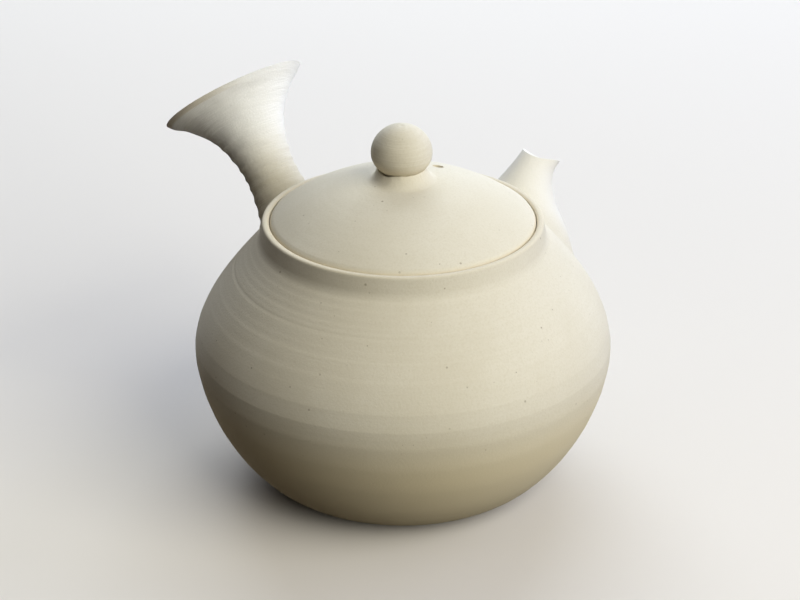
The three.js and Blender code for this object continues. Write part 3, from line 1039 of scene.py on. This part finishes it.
def lipped(outer, inner, rounding, crest=0.5):
    """All rings of a hollow piece: up the inside, over a lip that is highest at a share of its width from
    the outside, down the outside and closed under the skirt."""
    lead = outer[0] - outer[1]
    lead = lead / np.linalg.norm(lead, axis=1)[:, None]
    across = inner[0] - outer[0]
    width = np.linalg.norm(across, axis=1)[:, None]
    across = across / width
    rim = []
    for across_lip in (0.0, 0.15, 0.35, 0.65, 0.85, 1.0):
        lift = math.sqrt(max(0.0, 1 - (2 * across_lip - 1) ** 2))
        share = across_lip ** (math.log(crest) / math.log(0.5))
        rim.append(outer[0] + across * width * share + lead * rounding * (lift - 1))
    sunk = outer[-1].copy()
    away = np.hypot(sunk[:, 0], sunk[:, 1])[:, None]
    deep = sunk - np.concatenate([sunk[:, :2] / away * 0.0005, np.full((len(sunk), 1), 0.0004)], 1)
    return inner[::-1][:-1] + rim[::-1][:-1] + outer[1:] + [deep, inner[-1]]


class KYUSU_OT_throw_handle(bpy.types.Operator):
    """Loft the hollow trumpet handle, with its finger ridges and rounded mouth"""

    bl_idname = "kyusu.throw_handle"
    bl_label = "Throw the handle"

    def execute(self, context):
        handle = context.scene.kyusu_handle
        clay = context.scene.kyusu_clay
        wall = WallField(context.scene.kyusu_pot)
        path, radius, start = handle_functions(handle, wall)
        sides = 160
        outer = luted_rings(wall, path, radius, start, handle.fillet, sides, 190, HANDLE_REACH)
        inner = bore_rings(
            wall, path, lambda s, turn: radius(s, turn, handle.wall, ridges=0.5), start,
            sides, 60, HANDLE_HOLLOW, BORE_SUNK,
        )
        bm = bmesh.new()
        loft(bm, lipped(outer, inner, rounding=0.0008))
        seat, along, front, side = handle_axis(handle, wall)
        turn = Matrix((front, side, along)).transposed().to_euler()
        material = clay_material(
            "Handle clay", clay, origin=tuple(seat), turn=tuple(turn), lines=1100, line_height=0.0005,
            length=90, mottling=0.45, grain=0.0001, tone=0.4,
            washes=((clay.pale, self.painted_light), (clay.lip, self.lip)),
        )
        finish_piece(bm, "handle_skin", material, "pot", "handle", 60)
        return {"FINISHED"}

    def painted_light(self, tree, vector):
        """Painted light: paler up the flare, standing in for the brighter light that falls on it."""
        return ramp(tree, radius_and_height(tree, vector)[1], 0.008, 0.032, 0.0, 0.92)

    def lip(self, tree, vector):
        """Painted shade: a warmer, darker band round the mouth, stronger on one side, standing in for the
        shade that falls there.
        """
        top = HANDLE_STATIONS[-1] * MM
        radius, height = radius_and_height(tree, vector)
        band = ramp(tree, height, top - 0.0018, top - 0.0012, 0.0, 0.6)
        shaded = tree.nodes.new("ShaderNodeVectorMath")
        shaded.operation = "DOT_PRODUCT"
        tree.links.new(vector, shaded.inputs[0])
        shaded.inputs[1].default_value = (math.cos(FLARE_SIDE), -math.sin(FLARE_SIDE), 0)
        side = ramp(tree, math_node(tree, "DIVIDE", shaded.outputs["Value"], radius), -0.45, 0.6)
        return math_node(tree, "MULTIPLY", band, side)


class KYUSU_OT_pierce_strainer(bpy.types.Operator):
    """Press out the strainer's dome and pierce its rings of holes"""

    bl_idname = "kyusu.pierce_strainer"
    bl_label = "Pierce the strainer"

    def execute(self, context):
        spout = context.scene.kyusu_spout
        pot = context.scene.kyusu_pot
        clay = context.scene.kyusu_clay
        wall = WallField(pot)
        z = wall.shoulder_height(STRAINER_SEAT_RADIUS)
        slope = np.interp(z, wall.outline[:, 1], np.gradient(wall.outline[:, 0], wall.outline[:, 1]))
        normal = Vector((1, 0, -slope)).normalized()
        half = 0.0119
        bulge = 0.006
        thick = 0.002
        seat = 0.0135
        ball = (seat**2 + bulge**2) / (2 * bulge)
        centre = Vector((STRAINER_SEAT_RADIUS, 0, z)) + normal * (ball - bulge - pot.wall)
        reach = math.asin(half / ball)
        turn = Vector((0, 0, 1)).rotation_difference(normal).to_matrix().to_4x4()
        place = Matrix.Translation(centre) @ turn
        steps = [(ball, reach * t) for t in np.linspace(0, 1, 24)]
        steps += [(ball - thick, reach * t) for t in np.linspace(1, 0, 24)]
        bm = bmesh.new()
        turn_profile(bm, [(size * math.sin(lean), -size * math.cos(lean)) for size, lean in steps], 96)
        bmesh.ops.transform(bm, matrix=place, verts=bm.verts[:])
        material = clay_material("Strainer clay", clay, lines=600, line_height=0.00003)
        piece = finish_piece(bm, "strainer_dome", material, "pot", "tea_strainer", 40)
        holes = []
        for row in range(3):
            count = 6 * row if row else 1
            for i in range(count):
                lean = row * spout.hole_pitch / ball
                angle = 2 * math.pi * i / count
                out = math.sin(lean)
                along = Vector((out * math.cos(angle), out * math.sin(angle), -math.cos(lean)))
                holes.append((place @ (along * ball), (place.to_3x3() @ along)))
        cut(piece, rods("strainer_pins", holes, spout.hole_diameter, 0.008, 20), 40)
        return {"FINISHED"}


def dome_height(lid, rim, edge, r):
    """How high the lid's upper side is at a distance from its middle."""
    return rim + lid.rise * (1 - (r / edge) ** lid.roundness)


class KYUSU_OT_turn_lid(bpy.types.Operator):
    """Spin the lid's dome and flange and pierce the steam vent"""

    bl_idname = "kyusu.turn_lid"
    bl_label = "Turn the lid"

    def execute(self, context):
        lid = context.scene.kyusu_lid
        clay = context.scene.kyusu_clay
        edge = LID_HIGH.x + 0.00018
        rim = context.scene.kyusu_pot.rim_height
        seat = LID_LOW.z + lid.flange_drop + 0.0003
        flange_gap = 0.00025
        flange = edge - LEDGE_WIDTH - flange_gap
        inner = flange - 0.0024
        profile = [
            (r, dome_height(lid, rim, edge, r) - lid.thickness) for r in inner * np.linspace(0, 0.93, 14)
        ]
        top = profile[-1][1]
        profile += [(inner * 0.975, top - 0.0006), (inner, top - 0.0016), (inner, LID_LOW.z + 0.0006)]
        profile += [(inner + 0.0006, LID_LOW.z), (flange - 0.0006, LID_LOW.z), (flange, LID_LOW.z + 0.0006)]
        profile += [(flange, seat - 0.0004), (flange + 0.0004, seat)]
        profile += [(edge - 0.0008, seat), (edge - 0.0002, seat + 0.0002)]
        profile += [(edge, seat + 0.0006), (edge, rim - 0.0009), (edge - 0.00006, rim - 0.0006)]
        profile += [(edge - 0.0002, rim - 0.00028), (edge - 0.00042, rim - 0.00003)]
        for r in np.linspace(edge - 0.0008, 0.0, 90):
            profile.append((r, dome_height(lid, rim, edge, r) - self.relief(r)))
        bm = bmesh.new()
        turn_profile(bm, profile, 256)

        angle = math.radians(3)
        point = Vector((lid.vent_offset * math.cos(angle), lid.vent_offset * math.sin(angle), 0))
        point.z = dome_height(lid, rim, edge, lid.vent_offset)

        # Painted shade: a darker, warmer colour on the lid's edge beside the seam and on the vent's inner
        # wall.
        def edges(tree, vector):
            beside = tree.nodes.new("ShaderNodeVectorMath")
            beside.operation = "SUBTRACT"
            tree.links.new(vector, beside.inputs[0])
            beside.inputs[1].default_value = point
            far = radius_and_height(tree, beside.outputs["Vector"])[0]
            hole = ramp(tree, far, lid.vent_diameter * 0.62, lid.vent_diameter * 0.47, 0.0, 0.4)
            from_middle = radius_and_height(tree, vector)[0]
            rim_band = ramp(tree, from_middle, edge - 0.0007, edge - 0.0001, 0.0, 0.6)
            return math_node(tree, "MAXIMUM", rim_band, hole)

        material = clay_material(
            "Lid clay", clay, lines=240, line_height=0.00001, length=30, tone=0.05, specks=0.08,
            washes=((clay.lip, edges),),
        )
        piece = finish_piece(bm, "lid_dome", material, "lid", "lid", 35)
        cut(piece, rods("vent_rod", [(point, (0, 0, 1))], lid.vent_diameter, 0.012, 40), 35)
        return {"FINISHED"}

    def relief(self, r):
        """Very faint turning rings on the dome."""
        return 0.000005 * (1 + math.sin(r * 2400)) + 0.000008 * (1 + math.sin(r * 900 + 1))


class KYUSU_OT_turn_knob(bpy.types.Operator):
    """Spin the knob with its turned lines, and the lumpy ring of slip that lutes it to the lid"""

    bl_idname = "kyusu.turn_knob"
    bl_label = "Turn the knob"

    def execute(self, context):
        lid = context.scene.kyusu_lid
        clay = context.scene.kyusu_clay
        ball = lid.knob_radius
        upper = 0.00845
        lower = 0.0069
        neck = lid.neck_radius
        start = math.acos(neck / ball)
        centre = KNOB_HIGH.z - upper - 0.0001
        low = centre - lower * math.sin(start)
        profile = [(0, KNOB_LOW.z - 0.001), (neck - 0.0012, KNOB_LOW.z - 0.001)]
        profile += [(neck - 0.0011, low - 0.001), (neck - 0.0009, low - 0.0004)]
        profile += [(neck - 0.0003, low - 0.00012)]
        for t in np.linspace(0, 1, 130):
            angle = -start + (math.pi / 2 + start) * t
            r = ball * math.cos(angle)
            z = centre + (upper if angle > 0 else lower) * math.sin(angle)
            sunk = self.relief(z - centre, angle)
            profile.append((max(r - sunk * math.cos(angle), 0) if t < 1 else 0, z - sunk * math.sin(angle)))
        bm = bmesh.new()
        turn_profile(bm, profile, 144)
        dimple = Vector((-0.0004, -0.0003, centre + upper))
        for vert in bm.verts:
            p = vert.co
            away = Vector((p.x, p.y, p.z - centre))
            if p.z > low:
                shift = noise.noise(p * 190) * 0.00005 + noise.noise(p * 60) * 0.0001 - 0.00011
                p += away.normalized() * shift
                p.z -= 0.00016 * math.exp(-(((p - dimple).length / 0.0006) ** 2))
        bmesh.ops.translate(bm, verts=bm.verts[:], vec=KNOB_SHIFT)

        # Painted shade: the ball turns warmer and darker towards its underside.
        def underside(tree, vector):
            height = radius_and_height(tree, vector)[1]
            return ramp(tree, height, centre - 0.0002, centre - 0.0055, 0.0, 0.5)

        material = clay_material(
            "Knob clay", clay, lines=1700, line_height=0.00016, length=80, mottling=0.4, specks=0.06,
            tone=0.3, washes=((clay.lip, underside),),
        )
        finish_piece(bm, "knob_ball", material, "lid", "lid_knob", 50)
        self.slip_ring(context.scene.kyusu_pot.rim_height, lid, clay, low)
        return {"FINISHED"}

    def relief(self, z, angle):
        """Turning lines round the ball, finer and coarser ones mixed."""
        fine = noise.noise(Vector((z * 2600, 0.3, 0))) + 0.8 * noise.noise(Vector((z * 1100, 1.7, 0)))
        return 0.00004 * (fine + 0.9) * max(0.0, math.cos((angle + 0.4) * 0.9))

    def slip_ring(self, rim, lid, clay, top):
        """The slip between neck and dome: crumbs along its upper edge, then a hollow slope onto the lid."""
        edge = LID_HIGH.x
        neck = lid.neck_radius
        seat = dome_height(lid, rim, edge, neck)
        rings = []
        for turn in np.linspace(0, 2 * math.pi, 240, endpoint=False):
            bare = max(0.0, math.cos(turn - CRACK_SIDE)) ** 8
            spread = 0.0042 + 0.0005 * math.cos(turn - LIGHT_SIDE)
            around = Vector((math.cos(turn), math.sin(turn), 0))
            lump = noise.noise(around * 6 + Vector((0, 0, 0.4)))
            lump += noise.noise(around * 15 + Vector((0, 0, 4.2)))
            level = top + 0.0004 - 0.0008 * bare
            crest = level + 0.00014 * lump
            ring = [(neck - 0.0014, crest - 0.0009), (neck - 0.0006, crest - 0.0004)]
            ring += [(neck - 0.0002, crest - 0.0002), (neck + 0.0002, crest - 0.00005)]
            ring.append((neck + 0.0005, crest))
            for share in np.linspace(0.03, 1, 16):
                rough = lump * 0.00012 * (1 - share) ** 12
                r = neck + 0.00056 + spread * share + rough
                floor = dome_height(lid, rim, edge, r)
                z = floor + (level - 0.0001 - seat) * (1 - share) ** 3.4 - 0.00004 * share
                ring.append((r, z + rough * 0.5))
            far = neck + spread + 0.0016
            ring.append((far, dome_height(lid, rim, edge, far) - 0.00012))
            ring.append((neck - 0.0014, seat - 0.0004))
            x, y = KNOB_SHIFT[:2]
            rings.append([(r * math.cos(turn) + x, r * math.sin(turn) + y, z) for r, z in ring])
        bm = bmesh.new()
        loft(bm, rings + rings[:1])
        material = clay_material(
            "Slip clay", clay, lines=240, line_height=0.00001, length=30, tone=0.05, specks=0.08
        )
        finish_piece(bm, "knob_slip", material, "lid", None, 60)


class KYUSU_OT_set_stage(bpy.types.Operator):
    """Lay the pale floor, light the pot and stand the camera where the photograph was taken"""

    bl_idname = "kyusu.set_stage"
    bl_label = "Set the stage"

    def execute(self, context):
        stage = context.scene.kyusu_stage
        self.floor(stage)
        self.lamps(context, stage)
        self.camera(context)
        context.scene.view_settings.view_transform = "Standard"
        return {"FINISHED"}

    def seen(self, tree):
        """1 where a camera, glossy or transmitted ray looks, 0 for the light that falls on the pot."""
        rays = tree.nodes.new("ShaderNodeLightPath").outputs
        seen = math_node(tree, "ADD", rays["Is Camera Ray"], rays["Is Glossy Ray"], clamp=True)
        return math_node(tree, "ADD", seen, rays["Is Transmission Ray"], clamp=True)

    def floor(self, stage):
        """A wide pale floor that throws back little light."""
        bm = bmesh.new()
        bmesh.ops.create_circle(bm, cap_ends=True, radius=6, segments=128)
        floor = add_object("floor", mesh_from(bm, "floor"))
        material = bpy.data.materials.new("Pale floor")
        material.use_nodes = True
        tree = material.node_tree
        shader = tree.nodes["Principled BSDF"]
        shader.inputs["Roughness"].default_value = 0.9
        shader.inputs["Specular IOR Level"].default_value = 0.1
        colour = mix_colour(tree, self.seen(tree), stage.bounce, stage.floor)
        tree.links.new(colour, shader.inputs["Base Color"])
        floor.data.materials.append(material)

    def lamps(self, context, stage):
        """An even sky and four large square lamps, all at the same distance."""
        world = bpy.data.worlds.new("Soft sky")
        context.scene.world = world
        world.use_nodes = True
        tree = world.node_tree
        shade = tree.nodes["Background"]
        shade.inputs["Color"].default_value = (1.0, 1.0, 1.0, 1)
        strength = math_node(tree, "MULTIPLY_ADD", self.seen(tree), 0.75, stage.sky)
        tree.links.new(strength, shade.inputs["Strength"])
        lamp_distance = 1.4
        middle = Vector((0, 0, 0.05))
        for name, azimuth, height, power, tint in (
            ("front lamp", -90, 33, stage.front, (1.0, 0.995, 0.92)),
            ("back lamp", 42, 31, stage.back, (0.79, 0.875, 1.0)),
            ("side lamp", -28, 12, stage.side, (0.45, 0.56, 1.0)),
            ("left lamp", 125, 68, stage.left, (1.0, 0.97, 0.98)),
        ):
            light = bpy.data.lights.new(name, "AREA")
            light.shape = "SQUARE"
            light.size = 1.3
            light.energy = power
            light.color = tint
            lamp = add_object(name, light)
            turn = math.radians(azimuth)
            rise = math.radians(height)
            way = Vector((math.cos(turn) * math.cos(rise), math.sin(turn) * math.cos(rise), math.sin(rise)))
            lamp.location = way * lamp_distance + middle
            lamp.rotation_euler = (-way).to_track_quat("-Z", "Y").to_euler()

    def camera(self, context):
        """The camera that the outline, rim and lid seam in the photograph were fitted with."""
        data = bpy.data.cameras.new("photograph")
        data.sensor_width = 36
        data.lens = 108
        data.clip_end = 20
        camera = add_object("photograph", data)
        camera.location = (-0.46149, -0.41440, 0.35361)
        camera.rotation_euler = (math.radians(64.187), 0, math.radians(-48))
        context.scene.camera = camera


OPERATORS = (
    KYUSU_OT_throw_pot,
    KYUSU_OT_lute_spout,
    KYUSU_OT_throw_handle,
    KYUSU_OT_pierce_strainer,
    KYUSU_OT_turn_lid,
    KYUSU_OT_turn_knob,
    KYUSU_OT_set_stage,
)

GROUPS = {
    "kyusu_pot": KyusuPot,
    "kyusu_spout": KyusuSpout,
    "kyusu_handle": KyusuHandle,
    "kyusu_lid": KyusuLid,
    "kyusu_clay": KyusuClay,
    "kyusu_stage": KyusuStage,
}


class KYUSU_PT_panel(bpy.types.Panel):
    """Lists the steps and sizes of the teapot"""

    bl_idname = "KYUSU_PT_panel"
    bl_label = "Kyusu"
    bl_space_type = "VIEW_3D"
    bl_region_type = "UI"
    bl_category = "Kyusu"

    def draw(self, context):
        for operator in OPERATORS:
            self.layout.operator(operator.bl_idname)
        for name, group in GROUPS.items():
            box = self.layout.box()
            for label in group.__annotations__:
                box.prop(getattr(context.scene, name), label)


def register():
    for cls in (*GROUPS.values(), *OPERATORS, KYUSU_PT_panel):
        bpy.utils.register_class(cls)
    for name, group in GROUPS.items():
        setattr(bpy.types.Scene, name, PointerProperty(type=group))


def unregister():
    for name in GROUPS:
        delattr(bpy.types.Scene, name)
    for cls in reversed((*GROUPS.values(), *OPERATORS, KYUSU_PT_panel)):
        bpy.utils.unregister_class(cls)


def main():
    register()
    for operator in OPERATORS:
        group, name = operator.bl_idname.split(".")
        getattr(getattr(bpy.ops, group), name)()


if __name__ == "__main__":
    main()
